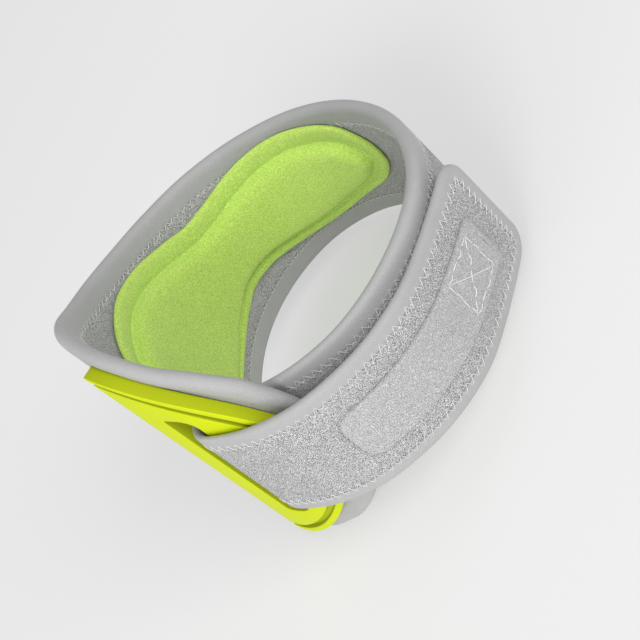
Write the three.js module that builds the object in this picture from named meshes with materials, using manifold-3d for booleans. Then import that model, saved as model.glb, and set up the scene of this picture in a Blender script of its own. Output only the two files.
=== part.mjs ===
// Elbow strap: a padded cuff whose strap end threads a curved buckle plate and folds back on itself.
// Every soft piece is cut as a flat pattern (along, up) and wrapped with a depth on the band's path.
import * as THREE from 'three';
import loadManifold from 'manifold-3d';

const wasm = await loadManifold();
wasm.setup();
const { Manifold, Mesh: SolidMesh } = wasm;

// Driving dimensions, mm and degrees
const CLEARANCE = 0.3;
const BAND_THICKNESS = 4;
const BINDING_WIDTH = 6.6;
const TONGUE_BINDING = 9.9;
const WIDE_FROM = 200;
const WIDE_TO = 160;
const BINDING_WALL = 0.7;
const STRAP_SHARE = 0.66;
const THIN_FROM = -20;
const THIN_TO = -112;
const TONGUE_TIP = 6;
const TONGUE_ROUND = 52;
const TONGUE_TURN = 28;
const TAB_ROUND = 7;
const TAB_TAPER = 0.08;
const TAPER_FROM = 285;
const PLATE_THICKNESS = 3.2;
const PLATE_LENGTH = 41.5;
const PLATE_HALF = 42.5;
const PLATE_START = 184.1;
const PLATE_RISE = 1.5;
const GROOVE_INSET = 1.9;
const GROOVE_WIDTH = 1.7;
const GROOVE_DEPTH = 1.6;
const SLOT_FROM_EDGE = 11.6;
const SLOT_WIDTH = 8.6;
const SLOT_HALF = 25.2;
const SLOT_ROUND = 1.4;
const SLOT_SHOULDER = 4.5;
const PAD_FLANGE = 1.6;
const PAD_HEIGHT = 5;
const PAD_BORDER = 5.2;
const PAD_RAISE = 1.7;
const PAD_LEAN = 2.6;
const LABEL_THICKNESS = 0.9;
const LABEL_HALF = 8.7;
const LABEL_ROUND = 4.5;
const LABEL_CORNER = 1.2;
const LABEL_FROM = 247;
const LABEL_TO = 319;

// Depths of the faces, measured from the middle of the band
const BAND_HALF = BAND_THICKNESS / 2;
const CORE_HALF = BAND_HALF - BINDING_WALL - CLEARANCE;
const PLATE_BOTTOM = BAND_HALF + CLEARANCE;
const PLATE_TOP = PLATE_BOTTOM + PLATE_THICKNESS;

// The band round the arm, from the tongue tip by the far wall to the slot
const STRAP_HALF = 19.3;
const ROUND_ARM = [
  { bearing: 251.5, reach: 42.2, half: 12.5 },
  { bearing: 239, reach: 42.1, half: 21.9 },
  { bearing: 230, reach: 42.2, half: 29.7 },
  { bearing: 219, reach: 42.5, half: 36.5 },
  { bearing: 209, reach: 43.0, half: 40.3 },
  { bearing: 199, reach: 43.7, half: 44.3 },
  { bearing: 188, reach: 44.8, half: 46.7 },
  { bearing: 178, reach: 46.1, half: 47.8 },
  { bearing: 169, reach: 47.6, half: 48.2 },
  { bearing: 161, reach: 48.2, half: 46.7 },
  { bearing: 150, reach: 48.2, half: 42.1 },
  { bearing: 136, reach: 48.2, half: 37.1 },
  { bearing: 120, reach: 48.2, half: 32.2 },
  { bearing: 104, reach: 48.2, half: 28.8 },
  { bearing: 86, reach: 48.2, half: 26.3 },
  { bearing: 66, reach: 48.2, half: 24.2 },
  { bearing: 44, reach: 48.0, half: 23.1 },
  { bearing: 22, reach: 47.4, half: 23.0 },
  { bearing: 0, reach: 47.1, half: 23.1 },
  { bearing: -20, reach: 46.6, half: 23.2 },
  { bearing: -38, reach: 45.5, half: 23.2 },
  { bearing: -56, reach: 43.5, half: 23.0 },
  { bearing: -75, reach: 41.6, half: 22.3 },
  { bearing: -92, reach: 40.1, half: 21.3 },
  { bearing: -108, reach: 38.3, half: 20.0 },
  { bearing: -122, reach: 37.7, half: STRAP_HALF },
  { bearing: -136, reach: 38.3, half: STRAP_HALF },
];

// The turn through the slot, about the bar between the slot and the plate's tip
const FOLD_BEARING = 210.8;
const FOLD_CENTRE = 42.9 + (PLATE_TOP - BAND_HALF) / 2;
const FOLD_RADIUS = (PLATE_TOP + BAND_HALF) / 2 + CLEARANCE + BAND_HALF * STRAP_SHARE;
const FOLD_STEPS = 6;

// The strap laid back over the plate, from the fold to the tab
const LAID_BACK = [
  { bearing: 222, reach: 49.7, half: STRAP_HALF },
  { bearing: 232, reach: 49.4, half: STRAP_HALF },
  { bearing: 242, reach: 49.2, half: STRAP_HALF },
  { bearing: 254, reach: 48.6, half: STRAP_HALF },
  { bearing: 270, reach: 48.3, half: STRAP_HALF },
  { bearing: 288, reach: 48.1, half: STRAP_HALF },
  { bearing: 304, reach: 48.0, half: STRAP_HALF },
  { bearing: 312, reach: 48.8, half: STRAP_HALF },
  { bearing: 320, reach: 50.4, half: STRAP_HALF },
  { bearing: 331.3, reach: 53.9, half: STRAP_HALF },
];

// The pad's outline on the inside of the far wall
const PAD = [
  { bearing: 18.6, half: 0 },
  { bearing: 19.2, half: 4 },
  { bearing: 21.5, half: 6.8 },
  { bearing: 27, half: 11.3 },
  { bearing: 33, half: 13.7 },
  { bearing: 39, half: 15.2 },
  { bearing: 45, half: 16.4 },
  { bearing: 52, half: 17.6 },
  { bearing: 60, half: 18.1 },
  { bearing: 69, half: 17.8 },
  { bearing: 78, half: 16.8 },
  { bearing: 87, half: 15.6 },
  { bearing: 94, half: 15.4 },
  { bearing: 100, half: 15.9 },
  { bearing: 106, half: 17.9 },
  { bearing: 112, half: 19.9 },
  { bearing: 120, half: 22.7 },
  { bearing: 129, half: 25.1 },
  { bearing: 138, half: 26.5 },
  { bearing: 147, half: 26.2 },
  { bearing: 155, half: 24.9 },
  { bearing: 163, half: 22.4 },
  { bearing: 170, half: 18.6 },
  { bearing: 176, half: 13.2 },
  { bearing: 180.4, half: 7 },
  { bearing: 182.3, half: 0 },
];

// How the piece rests: turned about the level axes, with the floor this far below the arm's axis
const REST = { roll: 2.3, pitch: 14.75, floor: 33.55 };

const rad = THREE.MathUtils.degToRad;
const deg = THREE.MathUtils.radToDeg;

// The soft edge is pressed flat where it meets the floor, each layer held its own height above it
const turnToRest = new THREE.Euler(rad(REST.roll), rad(REST.pitch), 0);
const restFrame = new THREE.Matrix4().makeRotationFromEuler(turnToRest);
const UP = new THREE.Vector3(0, 0, 1).applyMatrix4(restFrame.clone().transpose());

function press(point, above) {
  const at = new THREE.Vector3(...point);
  const height = at.dot(UP) + REST.floor;
  return at.addScaledVector(UP, Math.max(above - height, 0)).toArray();
}

// The path: the rows joined by one smooth curve that carries the half height as its third number
function foldRows() {
  return Array.from({ length: FOLD_STEPS + 1 }, (_, i) => {
    const turn = (Math.PI * i) / FOLD_STEPS;
    const reach = FOLD_CENTRE - FOLD_RADIUS * Math.cos(turn);
    const bearing = FOLD_BEARING - deg((FOLD_RADIUS * Math.sin(turn)) / reach);
    return { bearing, reach, half: STRAP_HALF };
  });
}

function tracePath(rows) {
  const knots = rows.map(({ bearing, reach, half }) => {
    const a = rad(bearing);
    return new THREE.Vector3(reach * Math.cos(a), reach * Math.sin(a), half);
  });
  const curve = new THREE.CatmullRomCurve3(knots, false, 'centripetal');
  const marks = curve.getPoints(rows.length * 40);
  let along = 0;
  return marks.map((mark, i) => {
    if (i > 0) along += Math.hypot(mark.x - marks[i - 1].x, mark.y - marks[i - 1].y);
    const before = marks[Math.max(i - 1, 0)];
    const after = marks[Math.min(i + 1, marks.length - 1)];
    const heading = Math.atan2(after.y - before.y, after.x - before.x);
    return { along, x: mark.x, y: mark.y, half: mark.z, heading };
  });
}

const path = tracePath([...ROUND_ARM, ...foldRows(), ...LAID_BACK]);
const LENGTH = path[path.length - 1].along;

function pathAt(along) {
  const s = THREE.MathUtils.clamp(along, 0, LENGTH);
  let low = 0;
  let high = path.length - 1;
  while (high - low > 1) {
    const middle = (low + high) >> 1;
    if (path[middle].along <= s) low = middle;
    else high = middle;
  }
  const a = path[low];
  const b = path[high];
  const t = (s - a.along) / (b.along - a.along);
  const turn = Math.atan2(Math.sin(b.heading - a.heading), Math.cos(b.heading - a.heading));
  return {
    x: a.x + t * (b.x - a.x),
    y: a.y + t * (b.y - a.y),
    half: a.half + t * (b.half - a.half),
    heading: a.heading + t * turn,
    past: along - s,
  };
}

// Where a bearing falls on the way out (round the arm) or on the way back (laid back)
const foldAlong = path.reduce((best, mark) => (
  Math.hypot(mark.x, mark.y) < FOLD_CENTRE && mark.along > LENGTH / 2 ? mark : best
)).along;

function alongAt(bearing, laidBack = false) {
  const x = Math.cos(rad(bearing));
  const y = Math.sin(rad(bearing));
  const lane = path.filter((mark) => (mark.along > foldAlong) === laidBack);
  const lined = lane.filter((mark) => mark.x * x + mark.y * y > 0);
  const first = lined.reduce((best, mark) => (
    Math.abs(mark.x * y - mark.y * x) < Math.abs(best.x * y - best.y * x) ? mark : best
  ));
  return first.along;
}

// Flat pattern to space: along the path, up the arm's axis, and depth to the left of the way
const taperFrom = alongAt(TAPER_FROM, true);

// The strap's lower side narrows towards the tab
function narrowAt(along, up) {
  return up < 0 ? 1 - TAB_TAPER * THREE.MathUtils.smoothstep(along, taperFrom, LENGTH) : 1;
}

function wrap([along, up, depth]) {
  const at = pathAt(along);
  const c = Math.cos(at.heading);
  const s = Math.sin(at.heading);
  return [at.x + at.past * c - depth * s, at.y + at.past * s + depth * c, up * narrowAt(along, up)];
}

// Outlines: the upper edge from one end to the other as [along, up], mirrored for the lower edge
function arc(centre, radius, from, to, steps) {
  return Array.from({ length: steps + 1 }, (_, i) => {
    const a = rad(from + ((to - from) * i) / steps);
    return [centre[0] + radius * Math.cos(a), centre[1] + radius * Math.sin(a)];
  });
}

// The band thins from the cuff to the strap, and its binding narrows with it
const thinFrom = alongAt(THIN_FROM);
const thinTo = alongAt(THIN_TO);

function shareAt(along) {
  return 1 + (STRAP_SHARE - 1) * THREE.MathUtils.smoothstep(along, thinFrom, thinTo);
}

// The tape shows wider on the tongue, where the plate covers its edge
const wideFrom = alongAt(WIDE_FROM);
const wideTo = alongAt(WIDE_TO);

function wideAt(along) {
  const narrow = THREE.MathUtils.smoothstep(along, wideFrom, wideTo);
  return 1 + (TONGUE_BINDING / BINDING_WIDTH - 1) * (1 - narrow);
}

function closeOutline(upper) {
  const lower = upper.map(([s, up]) => [s, -up]).reverse();
  const ends = upper[0][1] < 1e-9 ? 1 : 0;
  const tail = upper[upper.length - 1][1] < 1e-9 ? 1 : 0;
  return [...upper, ...lower.slice(tail, lower.length - ends)];
}

// Stations close together where the path turns sharply, and further apart where it is nearly straight
function stations(from, to, turnStep, longest) {
  const list = [from];
  let turned = 0;
  for (const mark of path) {
    if (mark.along <= from || mark.along >= to) continue;
    const last = pathAt(list[list.length - 1]).heading;
    turned = Math.abs(Math.atan2(Math.sin(mark.heading - last), Math.cos(mark.heading - last)));
    if (turned > rad(turnStep) || mark.along - list[list.length - 1] > longest) list.push(mark.along);
  }
  if (to - list[list.length - 1] < 1.2) list.pop();
  return [...list, to];
}

function bandEdge() {
  const capEnd = TONGUE_TIP + TONGUE_ROUND * (1 - Math.cos(rad(TONGUE_TURN)));
  const cap = arc([TONGUE_TIP + TONGUE_ROUND, 0], TONGUE_ROUND, 180, 180 - TONGUE_TURN, 7);
  const corner = arc([LENGTH - TAB_ROUND, STRAP_HALF - TAB_ROUND], TAB_ROUND, 90, 0, 5);
  const sides = stations(capEnd, LENGTH - TAB_ROUND, 9, 7.8).slice(1, -1).map((s) => [s, pathAt(s).half]);
  return [...cap, ...sides, ...corner];
}

function tableOutline(rows, steps) {
  const knots = rows.map(({ bearing, half }) => new THREE.Vector3(-alongAt(bearing), half, 0));
  const curve = new THREE.CatmullRomCurve3(knots, false, 'centripetal');
  const upper = curve.getSpacedPoints(steps).map((p) => [-p.x, Math.max(p.y, 0)]);
  return closeOutline(upper.reverse());
}

function plateHalf(a) {
  return PLATE_HALF * Math.pow(1 - Math.pow(a / PLATE_LENGTH, 1.6), 1 / 1.5);
}

// The plate's round side from the tip to its straight edge, moved in by an inset
function plateOutline(inset, reachOut) {
  const start = alongAt(PLATE_START);
  const rim = Array.from({ length: 27 }, (_, i) => {
    const a = PLATE_LENGTH * Math.cos((Math.PI / 2) * (i / 26));
    return [start - a, i === 0 ? 0 : plateHalf(a)];
  });
  const whole = closeOutline([...rim, [start + 30, PLATE_HALF]]);
  const moved = insetOutline(whole, whole.map(() => inset));
  const upper = moved.slice(0, rim.length).filter(([s]) => s < start + reachOut - 0.5);
  const last = moved[rim.length - 1];
  return [...upper, [start + reachOut, last[1]]];
}

function roundedBox(from, to, half, radius, shoulder = radius) {
  const upper = [
    ...arc([from + shoulder, half - shoulder], shoulder, 180, 90, 4),
    ...stations(from + shoulder, to - radius, 8, 7).slice(1, -1).map((s) => [s, half]),
    ...arc([to - radius, half - radius], radius, 90, 0, 4),
  ];
  return closeOutline(upper);
}

// Each point of a clockwise outline moved towards the inside, but a cut end only up or down
function insetOutline(outline, insets, cut) {
  const n = outline.length;
  return outline.map(([s, up], i) => {
    if (s === cut) return [s, up - Math.sign(up) * insets[i]];
    const before = outline[(i + n - 1) % n];
    const after = outline[(i + 1) % n];
    const a = new THREE.Vector2(s - before[0], up - before[1]).normalize();
    const b = new THREE.Vector2(after[0] - s, after[1] - up).normalize();
    const t = a.clone().add(b).normalize();
    const move = insets[i] / Math.max(t.dot(a), 0.5);
    return [s + move * t.y, up - move * t.x];
  });
}

// Solids: rings of equal length joined in turn, closed by two caps or into a tube
function solidOf(points, faces) {
  const kept = faces.filter(([a, b, c]) => a !== b && b !== c && c !== a);
  const mesh = new SolidMesh({
    numProp: 3,
    vertProperties: new Float32Array(points.flat()),
    triVerts: new Uint32Array(kept.flat()),
  });
  mesh.merge();
  const solid = new Manifold(mesh);
  return solid.volume() < 0 ? new Manifold(flipped(mesh)) : solid;
}

function flipped(mesh) {
  const turned = new Uint32Array(mesh.triVerts);
  for (let i = 0; i < turned.length; i += 3) [turned[i + 1], turned[i + 2]] = [turned[i + 2], turned[i + 1]];
  return new SolidMesh({ numProp: 3, vertProperties: mesh.vertProperties, triVerts: turned });
}

function joinRings(count, rings, closed) {
  const faces = [];
  for (let k = 0; k < (closed ? rings : rings - 1); k += 1) {
    const next = (k + 1) % rings;
    for (let i = 0; i < count; i += 1) {
      const j = (i + 1) % count;
      faces.push([k * count + i, k * count + j, next * count + j]);
      faces.push([k * count + i, next * count + j, next * count + i]);
    }
  }
  return faces;
}

// A cap laid in strips between each point and its mirror on the other edge
function mirrorCap(outline, base, facing) {
  const n = outline.length;
  const pointed = Math.abs(outline[0][1]) < 1e-9 ? 1 : 0;
  const twin = (i) => (pointed ? (n - i) % n : n - 1 - i);
  const half = Math.floor(n / 2);
  const faces = [];
  for (let i = 0; i < half; i += 1) {
    const quad = [i, i + 1, twin(i + 1), twin(i)];
    const tri = [[quad[0], quad[1], quad[2]], [quad[0], quad[2], quad[3]]];
    for (const t of tri) faces.push((facing > 0 ? t : [t[0], t[2], t[1]]).map((v) => v + base));
  }
  return faces;
}

function ringsOf(outline, layers, { thins = false, raise = () => 0, cut = null } = {}) {
  const share = outline.map(([s]) => (thins ? shareAt(s) : 1));
  return layers.map(({ inset, depth, above = 0, wide = false }) => {
    const insets = outline.map(([s], i) => share[i] * inset * (wide ? wideAt(s) : 1));
    const moved = insetOutline(outline, insets, cut);
    return moved.map(([s, up], i) => press(wrap([s, up + raise(s, up), depth * share[i]]), above));
  });
}

function layered(outline, layers, options) {
  const rings = ringsOf(outline, layers, options);
  const faces = joinRings(outline.length, rings.length, false);
  faces.push(...mirrorCap(outline, 0, -1), ...mirrorCap(outline, (rings.length - 1) * outline.length, 1));
  return solidOf(rings.flat(), faces);
}

function tubeAlong(outline, profile, options) {
  const rings = ringsOf(outline, profile, options);
  return solidOf(rings.flat(), joinRings(outline.length, rings.length, true));
}

// The band with its slot: thin under the binding and full between the two bindings
const edge = bandEdge();
const outline = closeOutline(edge);
const panelInset = BINDING_WIDTH + CLEARANCE;
const coreInset = BINDING_WALL + 2 * CLEARANCE;
const plateStart = alongAt(PLATE_START);

const slotOutline = roundedBox(
  plateStart - SLOT_FROM_EDGE - SLOT_WIDTH, plateStart - SLOT_FROM_EDGE, SLOT_HALF, SLOT_ROUND, SLOT_SHOULDER,
);
const slot = layered(slotOutline, [{ inset: 0, depth: -4 }, { inset: 0, depth: 9 }]);

const bandLayers = [
  { inset: panelInset, depth: -BAND_HALF, wide: true },
  { inset: panelInset, depth: -CORE_HALF, wide: true },
  { inset: coreInset, depth: -CORE_HALF, above: coreInset },
  { inset: coreInset, depth: CORE_HALF, above: coreInset },
  { inset: panelInset, depth: CORE_HALF, wide: true },
  { inset: panelInset, depth: BAND_HALF, wide: true },
];

// Made in two lengths that meet at the far wall, so that the slot is taken from the tongue alone
const seam = edge.findIndex(([s]) => s > alongAt(60));
const joined = { thins: true, cut: edge[seam][0] };
const tongueEnd = layered(closeOutline(edge.slice(0, seam + 1)), bandLayers, joined);
const strapEnd = layered(closeOutline(edge.slice(seam)), bandLayers, joined);
const band = tongueEnd.subtract(slot).add(strapEnd);

// The binding: a folded tape over the whole edge
const within = BAND_HALF - BINDING_WALL;
const binding = tubeAlong(outline, [
  { inset: BINDING_WIDTH, depth: BAND_HALF, wide: true },
  { inset: BAND_HALF * 0.9, depth: BAND_HALF },
  { inset: BAND_HALF * 0.28, depth: BAND_HALF * 0.68 },
  { inset: 0, depth: 0 },
  { inset: BAND_HALF * 0.28, depth: -BAND_HALF * 0.68 },
  { inset: BAND_HALF * 0.9, depth: -BAND_HALF },
  { inset: BINDING_WIDTH, depth: -BAND_HALF, wide: true },
  { inset: BINDING_WIDTH, depth: -within, wide: true },
  { inset: coreInset - CLEARANCE, depth: -within, above: coreInset - CLEARANCE },
  { inset: coreInset - CLEARANCE, depth: within, above: coreInset - CLEARANCE },
  { inset: BINDING_WIDTH, depth: within, wide: true },
], { thins: true });

// The buckle plate: a curved blank, fuller on its upper side, with its slot and the groove inside its rim
function plateRaise(along, up) {
  const a = plateStart - along;
  const swell = THREE.MathUtils.smoothstep(a, -8, 14);
  const fade = THREE.MathUtils.smoothstep(a, 30, PLATE_LENGTH);
  return PLATE_RISE * swell * (1 - fade) * THREE.MathUtils.smoothstep(up, 2, 16);
}

const blank = layered(closeOutline(plateOutline(0, 0)), [
  { inset: 0.4, depth: PLATE_BOTTOM },
  { inset: 0, depth: PLATE_BOTTOM + 0.4 },
  { inset: 0, depth: PLATE_TOP - 0.4 },
  { inset: 0.4, depth: PLATE_TOP },
], { raise: plateRaise });
const grooveFloor = PLATE_TOP - GROOVE_DEPTH;
const grooveOuter = layered(closeOutline(plateOutline(GROOVE_INSET, 4)), [
  { inset: 0, depth: grooveFloor },
  { inset: 0, depth: PLATE_TOP + 2 },
], { raise: plateRaise });
const grooveInner = layered(closeOutline(plateOutline(GROOVE_INSET + GROOVE_WIDTH, 8)), [
  { inset: 0, depth: grooveFloor - 1 },
  { inset: 0, depth: PLATE_TOP + 3 },
], { raise: plateRaise });
const plate = blank.subtract(grooveOuter.subtract(grooveInner)).subtract(slot);

// The pad: a flat border with a raised, rounded middle, set higher up the arm towards its small end
function padRaise(along) {
  return PAD_RAISE + PAD_LEAN * THREE.MathUtils.smoothstep(along, alongAt(70), alongAt(20));
}

const padBack = -(BAND_HALF + CLEARANCE);
const pad = layered(tableOutline(PAD, 46), [
  { inset: 0.4, depth: padBack },
  { inset: 0, depth: padBack - 0.5 },
  { inset: 0.2, depth: padBack - PAD_FLANGE + 0.4 },
  { inset: 0.9, depth: padBack - PAD_FLANGE },
  { inset: PAD_BORDER - 0.6, depth: padBack - PAD_FLANGE + 0.2 },
  { inset: PAD_BORDER, depth: padBack - PAD_FLANGE - 0.4 },
  { inset: PAD_BORDER + 0.7, depth: padBack - PAD_HEIGHT + 1.1 },
  { inset: PAD_BORDER + 2.1, depth: padBack - PAD_HEIGHT + 0.3 },
  { inset: PAD_BORDER + 4.2, depth: padBack - PAD_HEIGHT },
], { raise: padRaise });

// The bare patch on the outside of the strap
const labelBack = -(BAND_HALF * STRAP_SHARE + CLEARANCE);
const labelOutline = roundedBox(
  alongAt(LABEL_FROM, true), alongAt(LABEL_TO, true), LABEL_HALF, LABEL_CORNER, LABEL_ROUND,
);
const label = layered(labelOutline, [
  { inset: 0, depth: labelBack },
  { inset: 0, depth: labelBack - LABEL_THICKNESS + 0.3 },
  { inset: 0.3, depth: labelBack - LABEL_THICKNESS },
]);

// Meshes in one group, turned and lifted to rest on the floor
function meshOf(name, solid, look) {
  const data = solid.getMesh();
  const geometry = new THREE.BufferGeometry();
  geometry.setAttribute('position', new THREE.BufferAttribute(data.vertProperties, 3));
  geometry.setIndex(new THREE.BufferAttribute(data.triVerts, 1));
  geometry.computeVertexNormals();
  const mesh = new THREE.Mesh(geometry, new THREE.MeshStandardMaterial(look));
  mesh.name = name;
  return mesh;
}

const brace = new THREE.Group();
brace.name = 'elbow_brace';
brace.add(
  meshOf('cuff_band', band, { color: 0xa9aaa9, roughness: 0.95, metalness: 0 }),
  meshOf('edge_binding', binding, { color: 0xc6c7c8, roughness: 0.8, metalness: 0 }),
  meshOf('buckle_plate', plate, { color: 0xd9ea30, roughness: 0.45, metalness: 0 }),
  meshOf('pressure_pad', pad, { color: 0xa5cc52, roughness: 0.95, metalness: 0 }),
  meshOf('label_patch', label, { color: 0xc3c4c4, roughness: 0.85, metalness: 0 }),
);
brace.rotation.copy(turnToRest);
const box = new THREE.Box3().setFromObject(brace, true);
const middle = box.getCenter(new THREE.Vector3());
brace.position.set(-middle.x, -middle.y, -box.min.z);

const part = new THREE.Group();
part.name = 'elbow_brace_at_rest';
part.add(brace);
part.updateMatrixWorld(true);

export default part;
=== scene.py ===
"""The look of a padded elbow brace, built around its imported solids: cloth, tape, thread, pad and buckle."""
import logging
import math
from contextlib import contextmanager
from dataclasses import dataclass, field
from enum import Enum
from typing import Callable, Iterator, Mapping, NamedTuple, Optional, Sequence

import bpy
import numpy as np
from mathutils import Matrix, Vector


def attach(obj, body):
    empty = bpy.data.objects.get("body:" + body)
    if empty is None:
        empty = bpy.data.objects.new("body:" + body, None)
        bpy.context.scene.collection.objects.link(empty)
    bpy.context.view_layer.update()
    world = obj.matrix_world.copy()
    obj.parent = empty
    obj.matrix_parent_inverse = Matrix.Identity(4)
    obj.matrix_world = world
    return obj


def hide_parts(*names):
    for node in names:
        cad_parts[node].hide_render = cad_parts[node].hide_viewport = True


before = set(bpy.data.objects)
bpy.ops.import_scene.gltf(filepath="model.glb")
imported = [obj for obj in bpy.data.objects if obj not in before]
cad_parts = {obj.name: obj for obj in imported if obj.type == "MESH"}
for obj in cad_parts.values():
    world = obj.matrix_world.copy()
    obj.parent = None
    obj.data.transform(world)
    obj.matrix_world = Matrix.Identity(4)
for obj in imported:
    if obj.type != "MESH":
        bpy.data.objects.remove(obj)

LOG = logging.getLogger("elbow_brace")
ROOT = "root"
MM = 0.001  # metres in a millimetre
UV_SHARE = 0.01  # UV units in a millimetre of the flat pattern
TINY = 1e-6  # a length that counts as none
ANY_HEIGHT = -1000.0  # a least height above the floor that presses no point

Colour = tuple[float, float, float, float]
Feeds = Mapping[str | int, object]


class Lane(Enum):
    """Which run of the band a bearing is read on."""

    ROUND_ARM = "round the arm"
    LAID_BACK = "laid back over the buckle"


class Side(Enum):
    """A face of the cuff, as the sign of its depth."""

    OUTER = 1
    INNER = -1


class Row(NamedTuple):
    """One station of the band's path: bearing in degrees, reach and half height in millimetres."""

    bearing: float
    reach: float
    half: float


class PadRow(NamedTuple):
    """One station of the pad's outline: bearing in degrees and half height in millimetres."""

    bearing: float
    half: float


class Layer(NamedTuple):
    """One ring of a sewn piece.

    Its inset from the outline, its depth from the band's middle, its least height above the floor, whether
    the inset follows the tape's width, and how far the ring lies down the arm.
    """

    inset: float
    depth: float
    above: float = 0.0
    wide: bool = False
    drop: float = 0.0


def smoothstep(value: np.ndarray, low: float, high: float) -> np.ndarray:
    """Eases a value from 0 at low to 1 at high.

    Args:
        value: The numbers to ease.
        low: Where the ramp starts.
        high: Where the ramp ends.

    Returns:
        The eased numbers, from 0 to 1.
    """
    t = np.clip((np.asarray(value, float) - low) / (high - low), 0.0, 1.0)
    return t * t * (3.0 - 2.0 * t)


def arc(centre: tuple[float, float], radius: float, start: float, end: float, steps: int) -> np.ndarray:
    """Points on a circle in the flat pattern.

    Args:
        centre: The circle's middle, as along and up.
        radius: Its radius.
        start: The first angle in degrees.
        end: The last angle in degrees.
        steps: How many chords.

    Returns:
        An array of along and up.
    """
    angles = np.radians(np.linspace(start, end, steps + 1))
    return np.column_stack([centre[0] + radius * np.cos(angles), centre[1] + radius * np.sin(angles)])


def distances(points: np.ndarray) -> np.ndarray:
    """Measures how far along a line each of its points lies.

    Args:
        points: The line's points.

    Returns:
        The length of the line up to each point.
    """
    steps = np.linalg.norm(np.diff(points, axis=0), axis=1)
    return np.concatenate([[0.0], np.cumsum(steps)])


@dataclass(frozen=True)
class RestPose:
    """How the worn shape lies on the floor, as the solids do: degrees and millimetres."""

    roll: float = 2.3
    pitch: float = 14.75
    shift: tuple[float, float, float] = (3.2876, 0.0435, 33.55)

    def turn(self) -> np.ndarray:
        """Works out the turn from the cuff's own frame to the row frame.

        Returns:
            A rotation matrix.
        """
        a, b = math.radians(self.roll), math.radians(self.pitch)
        about_x = np.array([[1, 0, 0], [0, math.cos(a), -math.sin(a)], [0, math.sin(a), math.cos(a)]])
        about_y = np.array([[math.cos(b), 0, math.sin(b)], [0, 1, 0], [-math.sin(b), 0, math.cos(b)]])
        return about_x @ about_y

    def place(self, points: np.ndarray, above: np.ndarray | float = ANY_HEIGHT) -> np.ndarray:
        """Carries points of the cuff's frame to the row frame and presses them flat on the floor.

        Args:
            points: Points in millimetres.
            above: The least height above the floor for each point.

        Returns:
            Points in metres.
        """
        row = np.asarray(points, float) @ self.turn().T + np.array(self.shift)
        row[:, 2] = np.maximum(row[:, 2], above)
        return row * MM


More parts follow.
